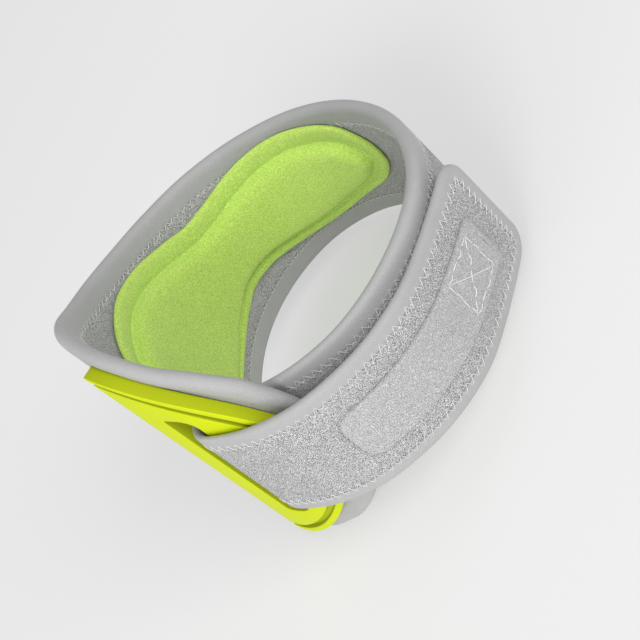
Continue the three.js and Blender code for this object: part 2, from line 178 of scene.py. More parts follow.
@dataclass
class BandPath:
    """The line that the band follows: round the arm, up through the slot and back over the buckle.

    Lengths are in millimetres, and bearings in degrees about the arm's axis.
    """

    band_half: float = 2.0
    plate_top: float = 5.5
    clearance: float = 0.3
    strap_share: float = 0.66
    strap_half: float = 19.3
    slot_reach: float = 42.9
    fold_bearing: float = 210.8
    fold_steps: int = 6
    marks_per_span: int = 48
    tape: float = 6.6
    tongue_tape: float = 9.9
    wide_from: float = 200.0
    wide_to: float = 160.0
    thin_from: float = -20.0
    thin_to: float = -112.0
    hold_from: float = -92.0
    hold_to: float = -120.0
    hold_keep: float = 0.55
    taper: float = 0.08
    taper_from: float = 285.0
    fold_keep: float = 0.45
    pinch_before: float = 8.0
    pinch_hold: float = 9.0
    pinch_end: float = 26.0
    plate_from: float = 184.1
    press_keep: float = 0.68
    press_fade: float = 3.5
    rest: RestPose = field(default_factory=RestPose)

    def __post_init__(self) -> None:
        """Traces the path once, as dense marks with along, place, half height and heading."""
        self.fold_centre = self.slot_reach + (self.plate_top - self.band_half) / 2
        turn_room = self.clearance + self.band_half * self.strap_share
        self.fold_radius = (self.plate_top + self.band_half) / 2 + turn_room
        rows = np.array([*self.round_arm(), *self.fold(), *self.laid_back()])
        turns = np.radians(rows[:, 0])
        knots = np.column_stack([rows[:, 1] * np.cos(turns), rows[:, 1] * np.sin(turns), rows[:, 2]])
        self.marks = self.smooth(knots, self.marks_per_span)
        self.along = distances(self.marks[:, :2])
        self.length = float(self.along[-1])
        ahead = np.gradient(self.marks[:, :2], axis=0)
        self.heading = np.unwrap(np.arctan2(ahead[:, 1], ahead[:, 0]))
        reach = np.hypot(self.marks[:, 0], self.marks[:, 1])
        inside = (reach < self.fold_centre) & (self.along > self.length / 2)
        self.fold_along = float(self.along[np.nonzero(inside)[0][-1]])
        self.plate_start = self.along_at(self.plate_from)
        self.wide_start = self.along_at(self.wide_from)
        self.wide_end = self.along_at(self.wide_to)
        self.thin_start = self.along_at(self.thin_from)
        self.thin_end = self.along_at(self.thin_to, after=self.thin_start)
        self.hold_start = self.along_at(self.hold_from, after=self.thin_start)
        self.hold_end = self.along_at(self.hold_to, after=self.thin_start)
        self.taper_start = self.along_at(self.taper_from, Lane.LAID_BACK)

    @staticmethod
    def round_arm() -> list[Row]:
        """Lists the stations from the tongue's tip by the far wall to the slot.

        Returns:
            The stations in order.
        """
        table = (
            (251.5, 42.2, 12.5), (239, 42.1, 21.9), (230, 42.2, 29.7), (219, 42.5, 36.5), (209, 43.0, 40.3),
            (199, 43.7, 44.3), (188, 44.8, 46.7), (178, 46.1, 47.8), (169, 47.6, 48.2), (161, 48.2, 46.7),
            (150, 48.2, 42.1), (136, 48.2, 37.1), (120, 48.2, 32.2), (104, 48.2, 28.8), (86, 48.2, 26.3),
            (66, 48.2, 24.2), (44, 48.0, 23.1), (22, 47.4, 23.0), (0, 47.1, 23.1), (-20, 46.6, 23.2),
            (-38, 45.5, 23.2), (-56, 43.5, 23.0), (-75, 41.6, 22.3), (-92, 40.1, 21.3), (-108, 38.3, 20.0),
            (-122, 37.7, 19.3), (-136, 38.3, 19.3),
        )
        return [Row(*row) for row in table]

    def fold(self) -> list[Row]:
        """Works out the stations of the turn through the slot.

        Returns:
            The stations in order.
        """
        rows = []
        for i in range(self.fold_steps + 1):
            turn = math.pi * i / self.fold_steps
            reach = self.fold_centre - self.fold_radius * math.cos(turn)
            swing = math.degrees(self.fold_radius * math.sin(turn) / reach)
            rows.append(Row(self.fold_bearing - swing, reach, self.strap_half))
        return rows

    def laid_back(self) -> list[Row]:
        """Lists the stations from the fold to the tab.

        Returns:
            The stations in order.
        """
        table = (
            (222, 49.7), (232, 49.4), (242, 49.2), (254, 48.6), (270, 48.3), (288, 48.1), (304, 48.0),
            (312, 48.8), (320, 50.4), (331.3, 53.9),
        )
        return [Row(bearing, reach, self.strap_half) for bearing, reach in table]

    @staticmethod
    def smooth(knots: np.ndarray, per_span: int) -> np.ndarray:
        """Joins knots by one smooth curve.

        Args:
            knots: Points that the curve passes through.
            per_span: Marks between two knots.

        Returns:
            Points along the curve.
        """
        first = 2 * knots[0] - knots[1]
        last = 2 * knots[-1] - knots[-2]
        full = np.vstack([first, knots, last])
        t = np.linspace(0, 1, per_span, endpoint=False)[:, None]
        out = []
        for p0, p1, p2, p3 in zip(full, full[1:], full[2:], full[3:]):
            d0, d1, d2 = (np.linalg.norm(b - a) ** 0.5 for a, b in ((p0, p1), (p1, p2), (p2, p3)))
            m1 = ((p1 - p0) / d0 - (p2 - p0) / (d0 + d1) + (p2 - p1) / d1) * d1
            m2 = ((p2 - p1) / d1 - (p3 - p1) / (d1 + d2) + (p3 - p2) / d2) * d1
            square, cube = 3 * (p2 - p1) - 2 * m1 - m2, 2 * (p1 - p2) + m1 + m2
            out.append(p1 + m1 * t + square * t ** 2 + cube * t ** 3)
        return np.vstack([*out, knots[-1:]])

    def along_at(self, bearing: float, lane: Lane = Lane.ROUND_ARM, after: float = 0.0) -> float:
        """Finds where a bearing falls on one run of the band.

        Args:
            bearing: Degrees about the arm's axis.
            lane: The run to read it on.
            after: The least place along the path, where two ends of a run pass the same bearing.

        Returns:
            Millimetres along the path.
        """
        x, y = math.cos(math.radians(bearing)), math.sin(math.radians(bearing))
        back = self.along > self.fold_along
        use = (back if lane is Lane.LAID_BACK else ~back) & (self.along >= after)
        use &= self.marks[:, 0] * x + self.marks[:, 1] * y > 0
        off = np.where(use, np.abs(self.marks[:, 0] * y - self.marks[:, 1] * x), np.inf)
        return float(self.along[int(np.argmin(off))])

    def half(self, along: np.ndarray) -> np.ndarray:
        """Returns the band's half height at each place along it."""
        return np.interp(along, self.along, self.marks[:, 2])

    def share(self, along: np.ndarray) -> np.ndarray:
        """Returns how much of the cuff's thickness the band keeps at each place."""
        return 1.0 + (self.strap_share - 1.0) * smoothstep(along, self.thin_start, self.thin_end)

    def widen(self, along: np.ndarray) -> np.ndarray:
        """Works out how the tape's width differs from the band's own thinning.

        Args:
            along: Millimetres along the path.

        Returns:
            A factor: more on the tongue, and part of the cuff's width held until the band passes under it.
        """
        on_tongue = 1.0 - smoothstep(along, self.wide_start, self.wide_end)
        on_cuff = 1.0 - smoothstep(along, self.hold_start, self.hold_end)
        tongue = 1.0 + (self.tongue_tape / self.tape - 1.0) * on_tongue
        return tongue * (1.0 + self.hold_keep * (1.0 / self.share(along) - 1.0) * on_cuff)

    def pinch(self, along: np.ndarray) -> np.ndarray:
        """Works out how the strap is pulled thin round the slot.

        Args:
            along: Millimetres along the path.

        Returns:
            How much of its outer thickness the strap keeps.
        """
        fold = self.fold_along
        reached = smoothstep(along, fold - self.pinch_before, fold)
        left = smoothstep(along, fold + self.pinch_hold, fold + self.pinch_end)
        return 1.0 - (1.0 - self.fold_keep) * reached * (1.0 - left)

    def press(self, along: np.ndarray) -> np.ndarray:
        """Returns how much of its outer thickness the tongue keeps under the plate, which sinks into it."""
        free = smoothstep(along, self.plate_start, self.plate_start + self.press_fade)
        return self.press_keep + (1.0 - self.press_keep) * free

    def side_keep(self, along: np.ndarray, side: float, pressed: bool) -> np.ndarray | float:
        """Works out how much of its thickness one side keeps.

        Args:
            along: Millimetres along the path.
            side: Above 0 for the cuff's outer side, below 0 for its inner side.
            pressed: Whether the plate reaches this far in from the edge.

        Returns:
            The share that is kept.
        """
        if side < 0:
            return self.pinch(along)
        return self.press(along) if pressed else 1.0

    def narrow(self, along: np.ndarray, up: np.ndarray) -> np.ndarray:
        """Returns how much of its height the strap's lower side keeps towards the tab."""
        return np.where(up < 0, 1.0 - self.taper * smoothstep(along, self.taper_start, self.length), 1.0)

    def wrap(
        self, along: np.ndarray, up: np.ndarray, depth: np.ndarray, above: np.ndarray | float = ANY_HEIGHT,
    ) -> np.ndarray:
        """Lays flat pattern points on the path.

        Args:
            along: Millimetres along the path.
            up: Millimetres up the arm's axis.
            depth: Millimetres to the left of the way, which is outwards on the cuff.
            above: The least height above the floor.

        Returns:
            Points in the row frame, in metres.
        """
        at = np.clip(along, 0.0, self.length)
        x = np.interp(at, self.along, self.marks[:, 0])
        y = np.interp(at, self.along, self.marks[:, 1])
        h = np.interp(at, self.along, self.heading)
        past = along - at
        cuff = np.column_stack([
            x + past * np.cos(h) - depth * np.sin(h),
            y + past * np.sin(h) + depth * np.cos(h),
            up * self.narrow(along, up),
        ])
        return self.rest.place(cuff, above)


@dataclass
class Outline:
    """A flat cut: its upper edge from one end to the other, mirrored for the lower edge."""

    upper: np.ndarray
    cut: Optional[float] = None
    mitre_limit: float = 0.5

    def closed(self) -> np.ndarray:
        """Joins the upper edge and its mirror.

        Returns:
            The whole edge as one ring of along and up.
        """
        lower = self.upper[::-1] * np.array([1.0, -1.0])
        start = 1 if self.upper[-1, 1] < TINY else 0
        stop = len(lower) - (1 if self.upper[0, 1] < TINY else 0)
        return np.vstack([self.upper, lower[start:stop]])

    def twins(self) -> np.ndarray:
        """Pairs the upper edge with the lower edge.

        Returns:
            For each point of the upper edge, the ring's index of its mirror.
        """
        ring = len(self.closed())
        pointed = self.upper[0, 1] < TINY
        return np.array([(ring - i) % ring if pointed else ring - 1 - i for i in range(len(self.upper))])

    def inset(self, amount: np.ndarray) -> np.ndarray:
        """Moves each point of the ring towards the inside.

        Args:
            amount: How far each point moves, in millimetres.

        Returns:
            The moved ring.
        """
        ring = self.closed()
        before, after = ring - np.roll(ring, 1, axis=0), np.roll(ring, -1, axis=0) - ring
        before /= np.linalg.norm(before, axis=1, keepdims=True)
        after /= np.linalg.norm(after, axis=1, keepdims=True)
        tangent = before + after
        tangent /= np.linalg.norm(tangent, axis=1, keepdims=True)
        move = amount / np.maximum((tangent * before).sum(axis=1), self.mitre_limit)
        moved = ring + np.column_stack([move * tangent[:, 1], -move * tangent[:, 0]])
        if self.cut is not None:
            at_cut = np.abs(ring[:, 0] - self.cut) < TINY
            moved[at_cut] = ring[at_cut]
            moved[at_cut, 1] -= np.sign(ring[at_cut, 1]) * amount[at_cut]
        return moved


class Shop:
    """Blender's bench: adding, cutting, joining and finishing pieces."""

    @staticmethod
    def clear() -> None:
        """Leaves edit mode and deselects everything."""
        if bpy.context.object and bpy.context.object.mode != "OBJECT":
            bpy.ops.object.mode_set(mode="OBJECT")
        bpy.ops.object.select_all(action="DESELECT")

    @classmethod
    def pick(cls, *pieces: bpy.types.Object) -> None:
        """Selects pieces and makes the first one active.

        Args:
            pieces: The pieces to select.
        """
        cls.clear()
        for piece in pieces:
            piece.select_set(True)
        bpy.context.view_layer.objects.active = pieces[0]

    @classmethod
    @contextmanager
    def editing(cls, obj: bpy.types.Object) -> Iterator[None]:
        """Opens a piece in edit mode with all of it selected, and leaves edit mode afterwards.

        Args:
            obj: The piece to edit.

        Yields:
            Nothing, while the piece is open.
        """
        cls.pick(obj)
        bpy.ops.object.mode_set(mode="EDIT")
        bpy.ops.mesh.select_all(action="SELECT")
        yield
        bpy.ops.object.mode_set(mode="OBJECT")

    @staticmethod
    def add(name: str, data: bpy.types.ID) -> bpy.types.Object:
        """Adds an object to the scene.

        Args:
            name: The object's name.
            data: Its mesh, curve, lamp or camera.

        Returns:
            The new object.
        """
        obj = bpy.data.objects.new(name, data)
        bpy.context.scene.collection.objects.link(obj)
        return obj

    @classmethod
    def piece(
        cls, name: str, points: np.ndarray, faces: Sequence[Sequence[int]], pattern: np.ndarray,
    ) -> bpy.types.Object:
        """Makes a mesh piece with its flat pattern as the UV map.

        Args:
            name: The piece's name.
            points: Its points in metres.
            faces: Its faces as indices.
            pattern: Along and up of each point, in millimetres.

        Returns:
            The new piece.
        """
        mesh = bpy.data.meshes.new(name)
        mesh.from_pydata(points.tolist(), [], [list(f) for f in faces])
        mesh.validate()
        uv = mesh.uv_layers.new(name="pattern")
        corner = np.zeros(len(mesh.loops), np.int32)
        mesh.loops.foreach_get("vertex_index", corner)
        uv.data.foreach_set("uv", (pattern[corner] * UV_SHARE).astype(np.float32).ravel())
        return cls.add(name, mesh)

    @staticmethod
    def points(obj: bpy.types.Object) -> np.ndarray:
        """Reads a piece's points.

        Args:
            obj: The piece.

        Returns:
            One row for each point.
        """
        flat = np.zeros(len(obj.data.vertices) * 3)
        obj.data.vertices.foreach_get("co", flat)
        return flat.reshape(-1, 3)

    @classmethod
    def tidy(cls, obj: bpy.types.Object, merge: float = 0.00001) -> None:
        """Merges doubles and turns every face outwards.

        Args:
            obj: The piece to tidy.
            merge: How close two points count as one, in metres.
        """
        with cls.editing(obj):
            bpy.ops.mesh.remove_doubles(threshold=merge)
            bpy.ops.mesh.normals_make_consistent(inside=False)

    @classmethod
    def smooth(cls, obj: bpy.types.Object, angle: float) -> None:
        """Shades a piece smoothly, with edges sharper than an angle kept.

        Args:
            obj: The piece to shade.
            angle: Degrees between faces that stay sharp.
        """
        cls.pick(obj)
        bpy.ops.object.shade_smooth_by_angle(angle=math.radians(angle))
        cls.clear()

    @classmethod
    def apply(cls, obj: bpy.types.Object, kind: str, **settings: object) -> None:
        """Gives a piece a modifier and applies it.

        Args:
            obj: The piece.
            kind: The modifier's kind.
            settings: The modifier's own choices.
        """
        cls.pick(obj)
        modifier = obj.modifiers.new(kind.lower(), kind)
        for label, value in settings.items():
            setattr(modifier, label, value)
        bpy.ops.object.modifier_apply(modifier=modifier.name)

    @classmethod
    def cut_with(cls, obj: bpy.types.Object, cutter: bpy.types.Object) -> None:
        """Takes a cutter's shape out of a piece."""
        cls.apply(obj, "BOOLEAN", operation="DIFFERENCE", solver="EXACT", object=cutter)

    @staticmethod
    def discard(*pieces: bpy.types.Object) -> None:
        """Deletes helper pieces."""
        for piece in pieces:
            bpy.data.objects.remove(piece, do_unlink=True)

    @staticmethod
    def settle(obj: bpy.types.Object, material: bpy.types.Material, slot: str) -> bpy.types.Object:
        """Gives a piece its finish and makes it ride on the brace.

        Args:
            obj: The piece.
            material: Its finish.
            slot: The record's material slot; not used.

        Returns:
            The same piece.
        """
        obj.data.materials.clear()
        obj.data.materials.append(material)
        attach(obj, ROOT)
        return obj


@dataclass
class Loft:
    """Sews rings of one outline into a closed piece wrapped on the path."""

    path: BandPath
    outline: Outline
    thins: bool = False
    crown_fall: float = 1.5

    def ring(self, layer: Layer) -> tuple[np.ndarray, np.ndarray, np.ndarray]:
        """Works out one ring.

        Args:
            layer: Its inset, depth and least height.

        Returns:
            The flat ring, its depths and its least heights.
        """
        along = self.outline.closed()[:, 0]
        share = self.path.share(along) if self.thins else np.ones(len(along))
        wide = self.path.widen(along) if layer.wide else 1.0
        flat = self.outline.inset(share * wide * layer.inset) - np.array([0.0, layer.drop])
        kept = self.path.side_keep(along, layer.depth, layer.wide) if self.thins else 1.0
        return flat, share * kept * layer.depth, np.full(len(along), layer.above)

    def build(
        self, name: str, layers: Sequence[Layer], columns: int = 1, crown: float = 0.0,
        lift: Optional[Callable[[np.ndarray], np.ndarray]] = None, tube: bool = False,
    ) -> bpy.types.Object:
        """Builds the piece from its rings.

        Args:
            name: The piece's name.
            layers: The rings in order.
            columns: Faces across each cap.
            crown: How much the last cap is domed, as a signed depth.
            lift: Moves the pattern up, as a function of along.
            tube: Joins the last ring to the first and leaves out the caps.

        Returns:
            The new piece.
        """
        flats, depths, aboves = zip(*(self.ring(layer) for layer in layers))
        count, total = len(flats[0]), len(layers)
        faces: list[tuple[int, ...]] = []
        for k in range(total if tube else total - 1):
            n = (k + 1) % total
            for i in range(count):
                j = (i + 1) % count
                faces.append((k * count + i, k * count + j, n * count + j, n * count + i))
        flat, depth, above = np.vstack(flats), np.concatenate(depths), np.concatenate(aboves)
        if not tube:
            for end, dome in ((0, 0.0), (total - 1, crown)):
                extra = self.cap(end * count, flat, depth, columns, dome, turned=end == 0)
                flat = np.vstack([flat, extra[0]])
                depth = np.concatenate([depth, extra[1]])
                above = np.concatenate([above, np.full(len(extra[1]), layers[end].above)])
                faces.extend(extra[2])
        up = flat[:, 1] + (lift(flat[:, 0]) if lift else 0.0)
        points = self.path.wrap(flat[:, 0], up, depth, above)
        obj = Shop.piece(name, points, faces, np.column_stack([flat[:, 0], up]))
        Shop.tidy(obj)
        return obj

    def cap(
        self, base: int, flat: np.ndarray, depth: np.ndarray, columns: int, dome: float, turned: bool,
    ) -> tuple[np.ndarray, np.ndarray, list[tuple[int, ...]]]:
        """Closes a ring by strips from each point to its mirror.

        Args:
            base: The ring's first index.
            flat: Flat points so far.
            depth: Depths so far.
            columns: Faces across each strip.
            dome: Signed depth of the crown at the middle of the widest strip.
            turned: Whether the cap faces the other way.

        Returns:
            New flat points, their depths and the cap's faces.
        """
        twins = self.outline.twins()
        upper = np.arange(len(twins))
        wide = np.abs(flat[base + upper, 1] - flat[base + twins, 1])
        fullness = np.minimum(1.0, wide / max(wide.max(), TINY)) ** self.crown_fall
        lines: list[list[int]] = []
        points: list[np.ndarray] = []
        depths: list[float] = []
        for i, twin in zip(upper, twins):
            a, b = base + int(i), base + int(twin)
            line = [a]
            for c in range(1, columns):
                v = c / columns
                crown = dome * (1 - (2 * v - 1) ** 2) * fullness[i]
                line.append(len(flat) + len(points))
                points.append(flat[a] + v * (flat[b] - flat[a]))
                depths.append(depth[a] + v * (depth[b] - depth[a]) + crown)
            lines.append([*line, b])
        faces = []
        for first, second in zip(lines, lines[1:]):
            for c in range(columns):
                quad = (first[c], second[c], second[c + 1], first[c + 1])
                faces.append(quad[::-1] if turned else quad)
        return np.array(points), np.array(depths), faces


def feed(node: bpy.types.Node, inputs: Feeds) -> bpy.types.Node:
    """Gives each named input of a node a link or a plain value.

    Args:
        node: The node.
        inputs: A socket or a value for each input.

    Returns:
        The same node.
    """
    for label, value in inputs.items():
        if isinstance(value, bpy.types.NodeSocket):
            node.id_data.links.new(value, node.inputs[label])
        else:
            node.inputs[label].default_value = value
    return node


def add_node(tree: bpy.types.NodeTree, kind: str, inputs: Feeds, **settings: object) -> bpy.types.Node:
    """Places a shader node.

    Args:
        tree: The tree that it goes in.
        kind: Its kind, without Blender's prefix.
        inputs: A socket or a value for each input.
        settings: The node's own choices.

    Returns:
        The placed node.
    """
    node = tree.nodes.new(f"ShaderNode{kind}")
    for label, value in settings.items():
        setattr(node, label, value)
    return feed(node, inputs)


class Socket(Enum):
    """What a socket of a shared effect carries."""

    PLACE = "NodeSocketVector"
    NUMBER = "NodeSocketFloat"
    COLOUR = "NodeSocketColor"


class Effects:
    """Shader effects that several finishes share, each a node group built once."""

    @staticmethod
    def start(
        name: str, inputs: Mapping[str, Socket], outputs: Mapping[str, Socket],
    ) -> tuple[bpy.types.NodeTree, Mapping[str, bpy.types.NodeSocket], bpy.types.Node]:
        """Opens a group with named sockets.

        Args:
            name: The group's name.
            inputs: What each input carries.
            outputs: What each output carries.

        Returns:
            The empty group, what its inputs give, and the node that takes its results.
        """
        tree = bpy.data.node_groups.new(name, "ShaderNodeTree")
        for sockets, way in ((inputs, "INPUT"), (outputs, "OUTPUT")):
            for label, carries in sockets.items():
                tree.interface.new_socket(label, in_out=way, socket_type=carries.value)
        given = tree.nodes.new("NodeGroupInput")
        return tree, {label: given.outputs[label] for label in inputs}, tree.nodes.new("NodeGroupOutput")

    @classmethod
    def fibres(cls) -> bpy.types.NodeTree:
        """Makes the short-fibre effect: light tips over dark gaps, with their height.

        Returns:
            The group.
        """
        if found := bpy.data.node_groups.get("short_fibres"):
            return found
        tree, given, result = cls.start(
            "short_fibres",
            {
                "Vector": Socket.PLACE, "Scale": Socket.NUMBER, "Gaps": Socket.COLOUR, "Tips": Socket.COLOUR,
                "Low": Socket.NUMBER, "High": Socket.NUMBER,
            },
            {"Color": Socket.COLOUR, "Height": Socket.NUMBER},
        )
        fine = add_node(tree, "TexNoise", {
            "Vector": given["Vector"], "Scale": given["Scale"],
            "Detail": 2.0, "Roughness": 0.6, "Distortion": 0.15,
        })
        spread = add_node(
            tree, "MapRange",
            {"Value": fine.outputs["Fac"], "From Min": given["Low"], "From Max": given["High"]}, clamp=True,
        )
        height = spread.outputs["Result"]
        tone = add_node(
            tree, "Mix", {"Factor": height, "A": given["Gaps"], "B": given["Tips"]}, data_type="RGBA",
        )
        feed(result, {"Color": tone.outputs["Result"], "Height": height})
        return tree

    @classmethod
    def handling(cls) -> bpy.types.NodeTree:
        """Makes the broad, faint unevenness of handled cloth and plastic.

        Returns:
            The group.
        """
        if found := bpy.data.node_groups.get("handled_unevenness"):
            return found
        tree, given, result = cls.start(
            "handled_unevenness",
            {
                "Vector": Socket.PLACE, "Scale": Socket.NUMBER,
                "Color": Socket.COLOUR, "Amount": Socket.NUMBER,
            },
            {"Color": Socket.COLOUR, "Value": Socket.NUMBER},
        )
        broad = add_node(
            tree, "TexNoise", {"Vector": given["Vector"], "Scale": given["Scale"], "Detail": 3.0},
        )
        centred = add_node(tree, "Math", {0: broad.outputs["Fac"], 1: 0.5}, operation="SUBTRACT")
        swing = add_node(
            tree, "Math", {0: centred.outputs[0], 1: given["Amount"], 2: 1.0}, operation="MULTIPLY_ADD",
        )
        shade = add_node(
            tree, "VectorMath", {0: given["Color"], "Scale": swing.outputs[0]}, operation="SCALE",
        )
        feed(result, {"Color": shade.outputs["Vector"], "Value": broad.outputs["Fac"]})
        return tree

    @classmethod
    def knit(cls) -> bpy.types.NodeTree:
        """Makes the fine knit of stretch tape, read on the flat pattern.

        Returns:
            The group.
        """
        if found := bpy.data.node_groups.get("fine_knit"):
            return found
        tree, given, result = cls.start(
            "fine_knit",
            {"Pattern": Socket.PLACE, "Wales": Socket.NUMBER, "Courses": Socket.NUMBER},
            {"Height": Socket.NUMBER},
        )
        split = add_node(tree, "SeparateXYZ", {0: given["Pattern"]})
        waves = []
        for axis, count in (("X", "Courses"), ("Y", "Wales")):
            turns = add_node(tree, "Math", {0: split.outputs[axis], 1: given[count]}, operation="MULTIPLY")
            waves.append(add_node(tree, "Math", {0: turns.outputs[0]}, operation="SINE").outputs[0])
        cross = add_node(tree, "Math", {0: waves[0], 1: waves[1]}, operation="MULTIPLY")
        feed(result, {"Height": cross.outputs[0]})
        return tree


def linear(red: int, green: int, blue: int) -> Colour:
    """Turns a colour read on screen into a shader colour.

    Args:
        red: Red, 0 to 255.
        green: Green, 0 to 255.
        blue: Blue, 0 to 255.

    Returns:
        The linear colour with alpha 1.
    """
    def one(value: int) -> float:
        """Returns one channel made linear."""
        v = value / 255
        return v / 12.92 if v <= 0.04045 else ((v + 0.055) / 1.055) ** 2.4

    return (one(red), one(green), one(blue), 1.0)


def grey(value: int) -> Colour:
    """Returns a grey read on screen as a shader colour."""
    return linear(value, value, value)


@dataclass(frozen=True)
class Finish:
    """What every finish has: a name, and a material whose shader it dresses."""

    name: str

    def material(self) -> bpy.types.Material:
        """Makes the material.

        Returns:
            The dressed material.
        """
        material = bpy.data.materials.new(self.name)
        material.use_nodes = True
        self.dress(material.node_tree, material.node_tree.nodes["Principled BSDF"])
        return material

    def dress(self, tree: bpy.types.NodeTree, shader: bpy.types.Node) -> None:
        """Feeds the shader, and is written by each kind of finish."""
        raise NotImplementedError

    @staticmethod
    def handled(
        tree: bpy.types.NodeTree, scale: float, colour: Colour | bpy.types.NodeSocket, amount: float,
    ) -> bpy.types.Node:
        """Places the unevenness of handling on the piece's own coordinates.

        Args:
            tree: The material's tree.
            scale: How fine it is.
            colour: The colour that it varies.
            amount: How much it varies it.

        Returns:
            The placed effect.
        """
        place = add_node(tree, "TexCoord", {}).outputs["Object"]
        inputs = {"Vector": place, "Scale": scale, "Color": colour, "Amount": amount}
        return add_node(tree, "Group", inputs, node_tree=Effects.handling())

    @staticmethod
    def bump(shader: bpy.types.Node, height: bpy.types.NodeSocket, distance: float, strength: float) -> None:
        """Feeds a height to the shader's normal.

        Args:
            shader: The shader node.
            height: The height to read.
            distance: How deep a full height is, in metres.
            strength: How strongly it tells.
        """
        inputs = {"Height": height, "Distance": distance, "Strength": strength}
        feed(shader, {"Normal": add_node(shader.id_data, "Bump", inputs).outputs["Normal"]})


@dataclass(frozen=True)
class PileFinish(Finish):
    """Brushed loop cloth, velour or bonded patch: short fibres with a sheen."""

    gaps: Colour
    tips: Colour
    scale: float
    low: float
    high: float
    depth: float
    uneven: float = 0.1
    uneven_scale: float = 90.0
    roughness: float = 0.95
    gloss: float = 0.2
    sheen: float = 0.2
    sheen_roughness: float = 0.5

    def dress(self, tree: bpy.types.NodeTree, shader: bpy.types.Node) -> None:
        """Feeds the shader from the fibre and unevenness effects.

        Args:
            tree: The material's tree.
            shader: Its shader node.
        """
        inputs = {
            "Vector": add_node(tree, "TexCoord", {}).outputs["Object"], "Scale": self.scale,
            "Gaps": self.gaps, "Tips": self.tips, "Low": self.low, "High": self.high,
        }
        pile = add_node(tree, "Group", inputs, node_tree=Effects.fibres())
        worn = self.handled(tree, self.uneven_scale, pile.outputs["Color"], self.uneven)
        feed(shader, {
            "Base Color": worn.outputs["Color"], "Roughness": self.roughness,
            "Specular IOR Level": self.gloss, "Sheen Weight": self.sheen,
            "Sheen Roughness": self.sheen_roughness,
        })
        self.bump(shader, pile.outputs["Height"], self.depth, 1.0)


@dataclass(frozen=True)
class TapeFinish(Finish):
    """Smooth knitted stretch tape."""

    colour: Colour
    wales: float = 900.0
    courses: float = 700.0
    knit_depth: float = 0.00004
    knit_strength: float = 0.5
    uneven: float = 0.12
    uneven_scale: float = 140.0
    grain: float = 0.4
    grain_scale: float = 3600.0
    roughness: float = 0.75
    gloss: float = 0.3
    sheen: float = 0.15

    def dress(self, tree: bpy.types.NodeTree, shader: bpy.types.Node) -> None:
        """Feeds the shader from the knit and unevenness effects.

        Args:
            tree: The material's tree.
            shader: Its shader node.
        """
        pattern = add_node(tree, "TexCoord", {}).outputs["UV"]
        inputs = {"Pattern": pattern, "Wales": self.wales, "Courses": self.courses}
        knit = add_node(tree, "Group", inputs, node_tree=Effects.knit())
        worn = self.handled(tree, self.uneven_scale, self.colour, self.uneven)
        grain = self.handled(tree, self.grain_scale, worn.outputs["Color"], self.grain)
        feed(shader, {
            "Base Color": grain.outputs["Color"], "Roughness": self.roughness,
            "Specular IOR Level": self.gloss, "Sheen Weight": self.sheen,
        })
        self.bump(shader, knit.outputs["Height"], self.knit_depth, self.knit_strength)


@dataclass(frozen=True)
class MouldedFinish(Finish):
    """Satin moulded plastic with a faint grain; its walls and groove take a darker colour, painted shade
    where less light falls on them.
    """

    colour: Colour
    wall_shade_colour: Colour
    uneven: float = 0.06
    uneven_scale: float = 110.0
    grain_scale: float = 3500.0
    grain_depth: float = 0.00002
    grain_strength: float = 0.35
    roughness: float = 0.5
    gloss: float = 0.05

    def dress(self, tree: bpy.types.NodeTree, shader: bpy.types.Node) -> None:
        """Feeds the shader from the painted wall shade and the unevenness effect.

        Args:
            tree: The material's tree.
            shader: Its shader node.
        """
        wall = add_node(tree, "Attribute", {}, attribute_name=BucklePlate.WALL_SHADE)
        inputs = {"Factor": wall.outputs["Fac"], "A": self.colour, "B": self.wall_shade_colour}
        # painted shade: the walls and groove take the darker colour
        tone = add_node(tree, "Mix", inputs, data_type="RGBA").outputs["Result"]
        worn = self.handled(tree, self.uneven_scale, tone, self.uneven)
        grain = self.handled(tree, self.grain_scale, self.colour, 0.0)
        feed(shader, {
            "Base Color": worn.outputs["Color"], "Roughness": self.roughness,
            "Specular IOR Level": self.gloss,
        })
        self.bump(shader, grain.outputs["Value"], self.grain_depth, self.grain_strength)


@dataclass(frozen=True)
class ThreadFinish(Finish):
    """Twisted sewing thread."""

    colour: Colour
    twist: float = 0.25
    twist_scale: float = 2500.0
    roughness: float = 0.6
    sheen: float = 0.2

    def dress(self, tree: bpy.types.NodeTree, shader: bpy.types.Node) -> None:
        """Feeds the shader with a fine uneven twist.

        Args:
            tree: The material's tree.
            shader: Its shader node.
        """
        worn = self.handled(tree, self.twist_scale, self.colour, self.twist)
        feed(shader, {
            "Base Color": worn.outputs["Color"], "Roughness": self.roughness, "Sheen Weight": self.sheen,
        })


@dataclass(frozen=True)
class FloorFinish(Finish):
    """A plain pale floor that glows faintly, painted light that keeps its shade pale."""

    tone: float
    glow: float
    roughness: float = 0.9
    gloss: float = 0.1

    def dress(self, tree: bpy.types.NodeTree, shader: bpy.types.Node) -> None:
        """Sets the shader's plain values.

        Args:
            tree: The material's tree.
            shader: Its shader node.
        """
        # painted light: a faint glow lightens the floor's shade
        feed(shader, {
            "Base Color": (self.tone, self.tone, self.tone, 1.0), "Roughness": self.roughness,
            "Specular IOR Level": self.gloss, "Emission Strength": 1.0,
            "Emission Color": (self.glow, self.glow, self.glow, 1.0),
        })


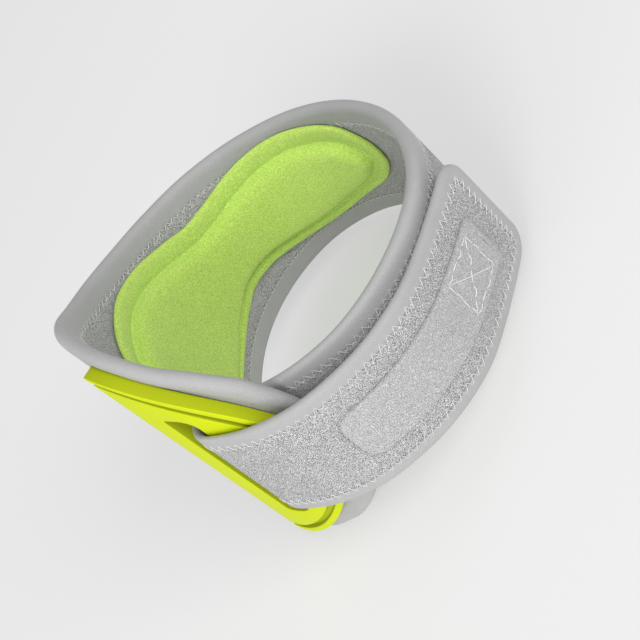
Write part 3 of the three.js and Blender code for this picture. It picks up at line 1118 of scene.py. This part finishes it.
@dataclass
class CuffBand:
    """The padded band with its rounded tongue, slot and strap end."""

    path: BandPath
    tongue_tip: float = 6.0
    tongue_round: float = 52.0
    tongue_turn: float = 28.0
    tongue_chords: int = 20
    tab_round: float = 7.0
    tab_chords: int = 9
    step: float = 1.5
    last_step: float = 0.9
    seam_bearing: float = 60.0
    core_inset: float = 1.3
    core_half: float = 1.0
    columns: int = 20
    join_slack: float = 0.01
    sharp: float = 50.0

    def edge(self) -> np.ndarray:
        """Draws the band's upper edge, from the tongue's tip to the tab.

        Returns:
            Points as along and up.
        """
        middle = (self.tongue_tip + self.tongue_round, 0.0)
        cap = arc(middle, self.tongue_round, 180, 180 - self.tongue_turn, self.tongue_chords)
        corner_at = (self.path.length - self.tab_round, self.path.strap_half - self.tab_round)
        corner = arc(corner_at, self.tab_round, 90, 0, self.tab_chords)
        sides = np.arange(cap[-1, 0] + self.step, corner[0, 0] - self.last_step, self.step)
        straight = np.linspace(corner[-1, 1], 0, self.tab_chords)[1:]
        end = np.column_stack([np.full(len(straight), self.path.length), straight])
        return np.vstack([cap, np.column_stack([sides, self.path.half(sides)]), corner, end])

    def layers(self) -> list[Layer]:
        """Lists the band's rings from the inner face to the outer face.

        Returns:
            The rings in order.
        """
        face = [(6.4, 1.0), (6.55, 1.5), (6.8, 1.8), (7.6, 1.95), (9.0, 2.03)]
        inner = [Layer(inset, -depth, wide=True) for inset, depth in reversed(face)]
        core = [Layer(self.core_inset, depth, self.core_inset) for depth in (-self.core_half, self.core_half)]
        return [*inner, *core, *[Layer(inset, depth, wide=True) for inset, depth in face]]

    def build(self, slot: bpy.types.Object, finish: PileFinish) -> bpy.types.Object:
        """Builds the band in two lengths, slots the tongue and joins them.

        Args:
            slot: The slot's shape, to cut with.
            finish: The cloth.

        Returns:
            The finished band.
        """
        edge = self.edge()
        seam = int(np.argmax(edge[:, 0] > self.path.along_at(self.seam_bearing)))
        cut = float(edge[seam, 0])
        tongue, strap = (
            Loft(self.path, Outline(half, cut), True).build(name, self.layers(), self.columns)
            for name, half in (("cuff_cloth", edge[: seam + 1]), ("strap_cloth", edge[seam:]))
        )
        Shop.cut_with(tongue, slot)
        for length in (tongue, strap):
            self.open_end(length, cut)
        Shop.pick(tongue, strap)
        bpy.ops.object.join()
        Shop.tidy(tongue, merge=0.00002)
        Shop.smooth(tongue, self.sharp)
        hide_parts("cuff_band")
        return Shop.settle(tongue, finish.material(), "cuff_band")

    def open_end(self, obj: bpy.types.Object, cut: float) -> None:
        """Removes the faces that close a length at the join.

        Args:
            obj: The length.
            cut: Where it is cut, along the path.
        """
        with Shop.editing(obj):
            bpy.ops.mesh.select_all(action="DESELECT")
        uv = obj.data.uv_layers["pattern"].data
        for face in obj.data.polygons:
            off = (abs(uv[i].uv[0] / UV_SHARE - cut) for i in face.loop_indices)
            face.select = max(off) < self.join_slack
        bpy.ops.object.mode_set(mode="EDIT")
        bpy.ops.mesh.select_mode(type="FACE")
        bpy.ops.mesh.delete(type="ONLY_FACE")
        bpy.ops.object.mode_set(mode="OBJECT")


@dataclass
class EdgeBinding:
    """The folded stretch tape over the band's whole edge."""

    path: BandPath
    edge: np.ndarray
    rolled: float = 0.9
    rim_reach: float = 3.0
    core_inset: float = 1.0
    core_half: float = 1.3
    core_end: float = 6.5
    sharp: float = 50.0

    def profile(self) -> list[Layer]:
        """Lists the tape's section: flat legs that run into a rolled rim, and the fold's inside.

        Returns:
            The rings in order.
        """
        leg = [
            (6.6, 1.62), (6.56, 1.84), (6.3, 1.96), (5.5, 1.99), (4.6, 1.99), (3.7, 2.0), (2.7, 2.02),
            (2.0, 1.96), (1.4, 1.82), (0.9, 1.58), (0.5, 1.24), (0.22, 0.84), (0.06, 0.42),
        ]
        front = [Layer(inset, depth, wide=inset > self.rim_reach) for inset, depth in leg]
        back = [layer._replace(depth=-layer.depth) for layer in reversed(front)]
        inside = [
            Layer(self.core_end, -self.core_half, wide=True),
            Layer(self.core_inset, -self.core_half, self.core_inset),
            Layer(self.core_inset, self.core_half, self.core_inset),
            Layer(self.core_end, self.core_half, wide=True),
        ]
        return [*front, Layer(0, 0), *back, *inside]

    def build(self, finish: TapeFinish) -> bpy.types.Object:
        """Builds and dresses the tape.

        Args:
            finish: The tape's finish.

        Returns:
            The finished binding.
        """
        loft = Loft(self.path, Outline(self.edge), True)
        obj = loft.build("binding_tape", self.profile(), tube=True)
        Shop.smooth(obj, self.sharp)
        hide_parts("edge_binding")
        return Shop.settle(obj, finish.material(), "edge_binding")

    def declare(
        self, tape: bpy.types.Object, cloth: bpy.types.Object, seams: Sequence[bpy.types.Object],
    ) -> None:
        """Args:
            tape: The finished binding; not used.
            cloth: The band that it is folded over; not used.
            seams: The stitching along its edges; not used.
        """
        ring = Outline(self.edge).closed()
        leg = self.path.tape * self.path.widen(ring[:, 0]) + self.rolled
        width = 2 * self.path.share(ring[:, 0]) * leg * MM


class Corner(Enum):
    """A corner of the crossed box, seen with the tab to the right."""

    NEAR_TOP = "near top"
    FAR_TOP = "far top"
    FAR_LOW = "far low"
    NEAR_LOW = "near low"


class Run(NamedTuple):
    """One straight run of the crossed box: its corners, stitch length, share of gap and sideways bow."""

    start: Corner
    end: Corner
    stitch: float
    gap: float
    bow: float


BOX_RUNS = (
    Run(Corner.NEAR_TOP, Corner.FAR_TOP, 3.4, 0.2, 0.26),
    Run(Corner.FAR_TOP, Corner.FAR_LOW, 3.8, 0.08, 0.18),
    Run(Corner.FAR_LOW, Corner.NEAR_LOW, 3.4, 0.2, 0.28),
    Run(Corner.NEAR_LOW, Corner.NEAR_TOP, 3.8, 0.08, 0.16),
    Run(Corner.FAR_TOP, Corner.NEAR_LOW, 3.6, 0.28, 0.4),
    Run(Corner.NEAR_TOP, Corner.FAR_LOW, 21.0, 0.0, 0.0),
)


@dataclass
class Stitching:
    """Sewing thread: zigzag along the binding and a crossed box on the patch."""

    path: BandPath
    edge: np.ndarray
    thread: float = 0.13
    pitch: float = 2.6
    reach: float = 1.3
    face: float = 1.98
    dip: float = -0.08
    rise: float = 0.09
    calm: float = 0.4
    calm_sink: float = 0.07
    box_thread: float = 0.165
    box_from: float = 297.0
    box_to: float = 313.5
    box_top: float = 7.3
    box_low: float = -6.1
    box_rise: float = 0.3
    box_sink: float = 0.16
    box_points: int = 9
    sharp: float = 60.0

    @staticmethod
    def tube(name: str, points: np.ndarray, radius: float, closed: bool) -> bpy.types.Object:
        """Draws a thread through points and makes it a mesh.

        Args:
            name: The thread's name.
            points: The way of the thread, in metres.
            radius: The thread's radius, in millimetres.
            closed: Whether it meets its start.

        Returns:
            The thread.
        """
        curve = bpy.data.curves.new(name, "CURVE")
        curve.dimensions = "3D"
        curve.bevel_depth = radius * MM
        curve.bevel_resolution = 0
        curve.use_fill_caps = True
        spline = curve.splines.new("POLY")
        spline.points.add(len(points) - 1)
        spline.points.foreach_set("co", np.column_stack([points, np.ones(len(points))]).ravel())
        spline.use_cyclic_u = closed
        Shop.pick(Shop.add(name, curve))
        bpy.ops.object.convert(target="MESH")
        return bpy.context.view_layer.objects.active

    def swing(self, side: Side) -> np.ndarray:
        """Works out the flat way of a zigzag that swings to both sides of the tape's edge.

        Args:
            side: The face that it is sewn on. The inner seam swings less before the fold.

        Returns:
            Points as along and up, four to each swing back and forth.
        """
        outline = Outline(self.edge)
        ring = outline.closed()
        width = self.path.tape * self.path.widen(ring[:, 0]) * self.path.share(ring[:, 0])
        middle = outline.inset(width)
        far = distances(np.vstack([middle, middle[:1]]))
        pairs = int(far[-1] / self.pitch)
        at = np.arange(4 * pairs) * far[-1] / (4 * pairs)
        calmed = (ring[:, 0] < self.path.fold_along) & (side is Side.INNER)
        reach = self.reach * np.where(calmed, 1.0 - self.calm, 1.0)
        spots = []
        for line in (outline.inset(width + reach), outline.inset(width - reach)):
            whole = np.vstack([line, line[:1]])
            spots.append(np.column_stack([np.interp(at, far, whole[:, 0]), np.interp(at, far, whole[:, 1])]))
        sway = np.tile([-1.0, 0.0, 1.0, 0.0], pairs)[:, None]
        return 0.5 * (spots[0] + spots[1]) + 0.5 * sway * (spots[1] - spots[0])

    def zigzag(self, name: str, side: Side, finish: ThreadFinish) -> bpy.types.Object:
        """Sews the binding's edge on one face.

        Args:
            name: The seam's name.
            side: The face of the cuff.
            finish: The thread's finish.

        Returns:
            The seam.
        """
        along, up = self.swing(side).T
        height = np.tile([self.dip, self.rise], len(along) // 2)
        sink = np.where((along < self.path.fold_along) & (side is Side.INNER), self.calm_sink, 0.0)
        kept = self.path.side_keep(along, side.value, True)
        depth = side.value * (self.path.share(along) * kept * self.face + height - sink)
        obj = self.tube(name, self.path.wrap(along, up, depth, 0.0), self.thread, True)
        Shop.smooth(obj, self.sharp)
        return Shop.settle(obj, finish.material(), "edge_binding")

    def box(self, label_face: float, finish: ThreadFinish) -> bpy.types.Object:
        """Sews the crossed box on the patch's tab end.

        Args:
            label_face: Depth of the patch's face.
            finish: The thread's finish.

        Returns:
            The stitching.
        """
        near, far = (self.path.along_at(bearing, Lane.LAID_BACK) for bearing in (self.box_from, self.box_to))
        corners = {
            Corner.NEAR_TOP: (near, self.box_top), Corner.FAR_TOP: (far, self.box_top),
            Corner.FAR_LOW: (far, self.box_low), Corner.NEAR_LOW: (near, self.box_low),
        }
        hump = np.sin(np.linspace(0, math.pi, self.box_points))
        depth = label_face - (self.box_rise * hump - self.box_sink)
        threads = []
        for run in BOX_RUNS:
            first = np.array(corners[run.start])
            way = np.array(corners[run.end]) - first
            span = float(np.linalg.norm(way))
            aside = np.array([-way[1], way[0]]) / span
            count = max(1, round(span / run.stitch))
            part = np.linspace(run.gap / 2, 1 - run.gap / 2, self.box_points)
            for i in range(count):
                lean = run.bow * (1 if i % 2 else -1)
                flat = first + (i + part)[:, None] / count * way + (lean * hump)[:, None] * aside
                points = self.path.wrap(flat[:, 0], flat[:, 1], depth)
                threads.append(self.tube("box_stitching", points, self.box_thread, False))
        Shop.pick(*threads)
        bpy.ops.object.join()
        obj = bpy.context.view_layer.objects.active
        Shop.smooth(obj, self.sharp)
        return Shop.settle(obj, finish.material(), "label_patch")


@dataclass
class BucklePlate:
    """The curved plate with its rim groove and slot."""

    WALL_SHADE = "wall"

    path: BandPath
    length: float = 41.5
    half: float = 42.5
    bottom: float = 1.65
    rim_points: int = 49
    rim_bow: float = 1.6
    rim_fullness: float = 1.5
    run_on: float = 30.0
    end_gap: float = 0.3
    groove_inset: float = 1.9
    groove_width: float = 1.7
    groove_depth: float = 1.6
    rise: float = 1.5
    rise_along: tuple[float, float] = (-8.0, 14.0)
    rise_until: float = 30.0
    rise_up: tuple[float, float] = (2.0, 16.0)
    slot_from_edge: float = 11.6
    slot_width: float = 8.6
    slot_half: float = 25.2
    slot_round: float = 1.4
    slot_shoulder: float = 4.5
    slot_chords: int = 6
    shoulder_chords: int = 8
    slot_depths: tuple[float, float] = (-4.0, 9.0)
    slot_strip: float = 1.4
    strip: float = 1.0
    spare: float = 2.0
    edge_round: float = 0.32
    edge_angle: float = 50.0
    steep: float = 0.3
    sharp: float = 35.0

    @property
    def top(self) -> float:
        """The depth of the plate's face."""
        return self.path.plate_top

    @property
    def start(self) -> float:
        """Where the plate's straight edge lies along the path."""
        return self.path.plate_start

    def rim(self, inset: float, past: float) -> np.ndarray:
        """Draws the plate's flat outline.

        Args:
            inset: How far it lies inside the rim.
            past: How far it runs past the straight edge.

        Returns:
            A ring of along and up.
        """
        a = self.length * np.cos(np.linspace(0, math.pi / 2, self.rim_points))
        up = self.half * (1 - (a / self.length) ** self.rim_bow) ** (1 / self.rim_fullness)
        round_side = np.column_stack([self.start - a, np.where(a > self.length - TINY, 0, up)])
        whole = Outline(np.vstack([round_side, [self.start + self.run_on, self.half]]))
        moved = whole.inset(np.full(len(whole.closed()), inset))[: len(round_side)]
        kept = moved[moved[:, 0] < self.start + past - self.end_gap]
        return Outline(np.vstack([kept, [self.start + past, moved[-1, 1]]])).closed()

    def slot_ring(self) -> np.ndarray:
        """Draws the slot's flat outline with rounded corners.

        Returns:
            A ring of along and up.
        """
        r, k, h = self.slot_round, self.slot_shoulder, self.slot_half
        high = self.start - self.slot_from_edge
        low = high - self.slot_width
        shoulder = arc((low + k, h - k), k, 180, 90, self.shoulder_chords)
        corner = arc((high - r, h - r), r, 90, 0, self.slot_chords)
        return Outline(np.vstack([shoulder, corner])).closed()

    @staticmethod
    def prism(name: str, ring: np.ndarray, low: float, high: float) -> bpy.types.Object:
        """Extrudes a flat outline to a slab, in pattern space.

        Args:
            name: The slab's name.
            ring: Its outline as along and up.
            low: Its lower depth.
            high: Its upper depth.

        Returns:
            The slab, in millimetres of the flat pattern.
        """
        Shop.clear()
        bpy.ops.mesh.primitive_circle_add(vertices=len(ring), radius=1, fill_type="NGON")
        obj = bpy.context.object
        obj.name = name
        for vertex, (along, up) in zip(obj.data.vertices, ring):
            vertex.co = (along, up, low)
        with Shop.editing(obj):
            bpy.ops.mesh.extrude_region_move(TRANSFORM_OT_translate={"value": (0, 0, high - low)})
            bpy.ops.mesh.select_all(action="SELECT")
            bpy.ops.mesh.normals_make_consistent(inside=False)
        return obj

    def lift(self, along: np.ndarray, up: np.ndarray) -> np.ndarray:
        """Works out how much fuller the plate is on its upper side.

        Args:
            along: Millimetres along the path.
            up: Millimetres up the arm's axis.

        Returns:
            How far each point moves up.
        """
        a = self.start - along
        grown = self.rise * smoothstep(a, *self.rise_along)
        return grown * (1 - smoothstep(a, self.rise_until, self.length)) * smoothstep(up, *self.rise_up)

    def lay(self, obj: bpy.types.Object, step: float, raised: bool) -> None:
        """Cuts a flat piece into strips and lays it on the path.

        Args:
            obj: The piece in pattern millimetres.
            step: The strips' width.
            raised: Whether it takes the plate's fuller upper side.
        """
        span = Shop.points(obj)[:, 0]
        with Shop.editing(obj):
            for along in np.arange(span.min() + step / 2, span.max(), step):
                bpy.ops.mesh.select_all(action="SELECT")
                bpy.ops.mesh.bisect(plane_co=(float(along), 0, 0), plane_no=(1, 0, 0))
        along, up, depth = Shop.points(obj).T
        row = self.path.wrap(along, up + (self.lift(along, up) if raised else 0.0), depth)
        obj.data.vertices.foreach_set("co", row.astype(np.float32).ravel())
        obj.data.update()

    def paint_wall_shade(self, obj: bpy.types.Object) -> None:
        """Marks the walls and the groove, which take a darker colour as painted shade, since less light falls
        on them than on the face.

        Args:
            obj: The plate, still flat in pattern millimetres.
        """
        low, high = self.bottom + self.edge_round / 2, self.top - self.groove_depth / 2
        wall = obj.data.attributes.new(self.WALL_SHADE, "FLOAT", "FACE")
        for face, mark in zip(obj.data.polygons, wall.data):
            # walls and groove are marked for painted shade
            mark.value = 1.0 if low < face.center.z < high or abs(face.normal.z) < self.steep else 0.0

    def slot(self) -> bpy.types.Object:
        """Makes the slot's shape as a cutter, laid on the path.

        Returns:
            The cutter.
        """
        cutter = self.prism("slot_cutter", self.slot_ring(), *self.slot_depths)
        self.lay(cutter, self.slot_strip, False)
        return cutter

    def build(self, finish: MouldedFinish) -> bpy.types.Object:
        """Moulds the plate.

        Args:
            finish: The plastic.

        Returns:
            The finished plate.
        """
        low, high, spare = self.bottom, self.top, self.spare
        floor, inner = high - self.groove_depth, self.groove_inset + self.groove_width
        plate = self.prism("moulded_buckle", self.rim(0, 0), low, high)
        channel = self.prism("channel", self.rim(self.groove_inset, 2 * spare), floor, high + spare)
        island = self.prism("island", self.rim(inner, 4 * spare), floor - spare / 2, high + 1.5 * spare)
        ring = self.slot_ring()
        ring[:, 1] -= self.lift(ring[:, 0], ring[:, 1])
        hole = self.prism("hole", ring, low - spare, high + spare)
        Shop.cut_with(channel, island)
        Shop.cut_with(plate, channel)
        Shop.cut_with(plate, hole)
        Shop.discard(channel, island, hole)
        Shop.apply(
            plate, "BEVEL", width=self.edge_round, segments=3, limit_method="ANGLE",
            angle_limit=math.radians(self.edge_angle),
        )
        self.paint_wall_shade(plate)
        self.lay(plate, self.strip, True)
        Shop.tidy(plate, merge=0.000002)
        Shop.smooth(plate, self.sharp)
        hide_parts("buckle_plate")
        return Shop.settle(plate, finish.material(), "buckle_plate")


@dataclass
class PressurePad:
    """The moulded pad on the inside of the far wall."""

    path: BandPath
    back: float = -2.3
    flange: float = 1.6
    height: float = 5.0
    border: float = 5.2
    dome_drop: float = 1.0
    crown: float = -0.8
    raised: float = 1.7
    lean: float = 2.6
    lean_from: float = 70.0
    lean_to: float = 20.0
    points: int = 150
    per_span: int = 24
    columns: int = 18
    sharp: float = 60.0

    @staticmethod
    def rows() -> list[PadRow]:
        """Lists the outline's stations.

        Returns:
            The stations in order.
        """
        table = (
            (18.6, 0), (19.2, 4), (21.5, 6.8), (27, 11.3), (33, 13.7), (39, 15.2), (45, 16.4), (52, 17.6),
            (60, 18.1), (69, 17.8), (78, 16.8), (87, 15.6), (94, 15.4), (100, 15.9), (106, 17.9), (112, 19.9),
            (120, 22.7), (129, 25.1), (138, 26.5), (147, 26.2), (155, 24.9), (163, 22.4), (170, 18.6),
            (176, 13.2), (180.4, 7), (182.3, 0),
        )
        return [PadRow(*row) for row in table]

    def edge(self) -> np.ndarray:
        """Draws the pad's upper edge, evenly spaced.

        Returns:
            Points as along and up.
        """
        knots = np.array([(self.path.along_at(r.bearing), r.half, 0.0) for r in self.rows()])[::-1]
        dense = self.path.smooth(knots, self.per_span)[:, :2]
        far = distances(dense)
        at = np.linspace(0, far[-1], self.points)
        upper = np.column_stack([np.interp(at, far, dense[:, 0]), np.interp(at, far, dense[:, 1])])
        upper[:, 1] = np.maximum(upper[:, 1], 0)
        upper[[0, -1], 1] = 0
        return upper

    def lift(self, along: np.ndarray) -> np.ndarray:
        """Returns how far up the arm the pad lies at each place."""
        low, high = (-self.path.along_at(bearing) for bearing in (self.lean_from, self.lean_to))
        return self.raised + self.lean * smoothstep(-along, low, high)

    def layers(self) -> list[Layer]:
        """Lists the pad's rings from its back to its crown.

        Returns:
            The rings in order.
        """
        face = self.back - self.flange
        peak = self.back - self.height
        flange = [
            (1.2, self.back), (0.35, self.back - 0.1), (0, self.back - 0.5), (0.06, face + 0.5),
            (0.35, face + 0.16), (0.9, face - 0.08), (1.7, face - 0.18), (2.6, face - 0.16),
        ]
        dome = [
            (-1.7, face - 0.02), (-0.9, face + 0.2), (-0.35, face + 0.42), (0, face + 0.5), (0.2, face + 0.3),
            (0.4, face - 0.4), (0.7, face - 1.3), (1.2, peak + 1.15), (2.0, peak + 0.62), (3.0, peak + 0.32),
            (4.2, peak + 0.12),
        ]
        return [
            *[Layer(inset, depth) for inset, depth in flange],
            *[Layer(self.border + inset, depth, drop=self.dome_drop) for inset, depth in dome],
        ]

    def build(self, finish: PileFinish) -> bpy.types.Object:
        """Builds and dresses the pad.

        Args:
            finish: The velour.

        Returns:
            The finished pad.
        """
        loft = Loft(self.path, Outline(self.edge()))
        obj = loft.build("velour_pad", self.layers(), self.columns, crown=self.crown, lift=self.lift)
        Shop.smooth(obj, self.sharp)
        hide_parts("pressure_pad")
        return Shop.settle(obj, finish.material(), "pressure_pad")


@dataclass
class LabelPatch:
    """The bare bonded patch on the strap."""

    path: BandPath
    start_bearing: float = 247.0
    end_bearing: float = 319.0
    half: float = 8.7
    corner: float = 4.5
    tab_corner: float = 1.2
    step: float = 1.4
    end_bow: float = 0.15
    end_points: int = 7
    thickness: float = 0.9
    columns: int = 10
    corner_chords: int = 9
    tab_chords: int = 6
    sharp: float = 60.0

    def back(self) -> float:
        """Returns the depth of the patch's back."""
        return -(self.path.band_half * self.path.strap_share + self.path.clearance)

    def face(self) -> float:
        """Returns the depth of the patch's face."""
        return self.back() - self.thickness

    def edge(self) -> np.ndarray:
        """Draws the patch's upper edge.

        Returns:
            Points as along and up.
        """
        low, high = (
            self.path.along_at(bearing, Lane.LAID_BACK) for bearing in (self.start_bearing, self.end_bearing)
        )
        k, r = self.corner, self.tab_corner
        first = arc((low + k, self.half - k), k, 180, 90, self.corner_chords)
        last = arc((high - r, self.half - r), r, 90, 0, self.tab_chords)
        side = np.arange(low + k + self.step, high - r - self.step / 2, self.step)
        share = np.linspace(0, 1, self.end_points)[:-1]
        bow = self.end_bow * (1 - share ** 2)
        start = np.column_stack([low - bow, share * first[0, 1]])
        end = np.column_stack([high + bow, share * last[-1, 1]])[::-1]
        return np.vstack([start, first, np.column_stack([side, np.full(len(side), self.half)]), last, end])

    def layers(self) -> list[Layer]:
        """Lists the patch's rings from its back to its face.

        Returns:
            The rings in order.
        """
        back, face = self.back(), self.face()
        table = (
            (0.3, back + 0.25), (0, back + 0.1), (0, face + 0.5), (0.15, face + 0.18), (0.5, face + 0.03),
            (1.1, face), (1.7, face + 0.02),
        )
        return [Layer(inset, depth) for inset, depth in table]

    def build(self, finish: PileFinish) -> bpy.types.Object:
        """Builds and dresses the patch.

        Args:
            finish: The patch's cloth.

        Returns:
            The finished patch.
        """
        obj = Loft(self.path, Outline(self.edge())).build("bonded_patch", self.layers(), self.columns)
        Shop.smooth(obj, self.sharp)
        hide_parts("label_patch")
        return Shop.settle(obj, finish.material(), "label_patch")

    def declare(self, patch: bpy.types.Object, cloth: bpy.types.Object, seam: bpy.types.Object) -> None:
        """Args:
            patch: The finished patch.
            cloth: The strap that it lies on; not used.
            seam: The stitching on it; not used.
        """
        length = float(np.ptp(self.edge()[:, 0])) * MM
        LOG.info("%s: cut %.4f by %.4f m", patch.name, 2 * self.half * MM, length)


class Lamp(NamedTuple):
    """One soft lamp: its name, place and width in metres, and power in watts."""

    name: str
    spot: tuple[float, float, float]
    size: float
    power: float


LAMPS = (
    Lamp("right_lamp", (1.1, -1.4, 1.2), 1.0, 23.0),
    Lamp("left_lamp", (-0.8, -1.65, 1.25), 1.0, 19.2),
    Lamp("side_lamp", (-2.0, -0.8, 0.35), 1.2, 20.0),
)


@dataclass
class Studio:
    """The floor, the soft light and the camera, which stands at the photograph's angle to the cuff.

    Angles are in degrees, the camera's distance and aim in millimetres and the rest in metres.
    """

    rest: RestPose = field(default_factory=RestPose)
    theta: float = 51.63
    phi: float = 40.10
    distance: float = 391.05
    aim: tuple[float, float, float] = (2.68, 6.55, 0.0)
    lens: float = 85.0
    sensor: float = 36.0
    nearest: float = 0.01
    surround: float = 0.45
    lamp_aim: tuple[float, float, float] = (0.0, 0.0, 0.04)
    floor_size: float = 16.0

    def camera(self) -> bpy.types.Object:
        """Sets the camera.

        Returns:
            The camera.
        """
        th, roll = math.radians(self.theta), math.radians(self.phi - 90)
        place = np.array([0, -self.distance * math.sin(th), self.distance * math.cos(th)])
        ahead = -place / np.linalg.norm(place)
        right = np.array([1.0, 0, 0])
        down = np.cross(ahead, right)
        image_x = math.cos(roll) * right - math.sin(roll) * down
        image_y = math.sin(roll) * right + math.cos(roll) * down
        turn = self.rest.turn()
        spot = self.rest.place((place - np.array(self.aim))[None])[0]
        axes = np.column_stack([turn @ image_x, turn @ -image_y, turn @ -ahead])
        data = bpy.data.cameras.new("photo_camera")
        data.lens = self.lens
        data.sensor_width = self.sensor
        data.clip_start = self.nearest
        obj = Shop.add("photo_camera", data)
        obj.matrix_world = Matrix.Translation(Vector(spot)) @ Matrix(axes.tolist()).to_4x4()
        bpy.context.scene.camera = obj
        return obj

    def floor(self, finish: FloorFinish) -> bpy.types.Object:
        """Lays the floor under the brace.

        Args:
            finish: The floor's finish.

        Returns:
            The floor.
        """
        Shop.clear()
        bpy.ops.mesh.primitive_plane_add(size=self.floor_size, location=(0, 0, 0))
        obj = bpy.context.object
        obj.name = "pale_floor"
        obj.data.materials.append(finish.material())
        return obj

    def light(self) -> None:
        """Sets an even pale surround and the soft lamps, with colours shown as they are."""
        world = bpy.data.worlds.new("pale_surround")
        world.use_nodes = True
        feed(world.node_tree.nodes["Background"], {"Color": (1, 1, 1, 1), "Strength": self.surround})
        bpy.context.scene.world = world
        bpy.context.scene.view_settings.view_transform = "Standard"
        for lamp in LAMPS:
            data = bpy.data.lights.new(lamp.name, "AREA")
            data.energy = lamp.power
            data.size = lamp.size
            obj = Shop.add(lamp.name, data)
            obj.location = lamp.spot
            aim = Vector(self.lamp_aim) - Vector(lamp.spot)
            obj.rotation_euler = aim.to_track_quat("-Z", "Y").to_euler()


class Palette:
    """The finishes of the brace and the floor."""

    CUFF = PileFinish(
        "brushed_loop_cloth", grey(93), grey(225), scale=5600.0, low=0.4, high=0.55, depth=0.00016,
    )
    PAD = PileFinish(
        "lime_velour", linear(174, 212, 80), linear(222, 254, 128), scale=3600.0, low=0.36, high=0.62,
        depth=0.00012,
    )
    PATCH = PileFinish(
        "bonded_patch_cloth", grey(140), grey(212), scale=4800.0, low=0.38, high=0.6, depth=0.0001,
    )
    TAPE = TapeFinish("stretch_binding", grey(166))
    # the second colour is painted shade on the plate's walls and groove
    BUCKLE = MouldedFinish("fluorescent_plastic", linear(197, 210, 22), linear(170, 182, 26))
    THREAD = ThreadFinish("white_thread", linear(214, 214, 212))
    # the floor's glow is painted light that keeps its shade pale
    FLOOR = FloorFinish("pale_floor", tone=0.45, glow=0.40)


def report(obj: bpy.types.Object) -> bpy.types.Object:
    """Writes a piece's size to the log and hands the piece on."""
    LOG.info("%s: %d faces", obj.name, len(obj.data.polygons))
    return obj


def main() -> None:
    """Builds the brace's pieces in order, then the studio."""
    logging.basicConfig(level=logging.INFO, format="%(message)s")
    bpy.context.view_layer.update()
    studio = Studio()
    studio.camera()
    path = BandPath()
    buckle = BucklePlate(path)
    band = CuffBand(path)
    slot = buckle.slot()
    cloth = report(band.build(slot, Palette.CUFF))
    Shop.discard(slot)
    edge = band.edge()
    binding = EdgeBinding(path, edge)
    tape = report(binding.build(Palette.TAPE))
    stitching = Stitching(path, edge)
    seams = [
        report(stitching.zigzag(name, side, Palette.THREAD))
        for name, side in (("outer_zigzag", Side.OUTER), ("inner_zigzag", Side.INNER))
    ]
    binding.declare(tape, cloth, seams)
    report(buckle.build(Palette.BUCKLE))
    report(PressurePad(path).build(Palette.PAD))
    label = LabelPatch(path)
    patch = report(label.build(Palette.PATCH))
    label.declare(patch, cloth, report(stitching.box(label.face(), Palette.THREAD)))
    studio.floor(Palette.FLOOR)
    studio.light()


if __name__ == "__main__":
    main()
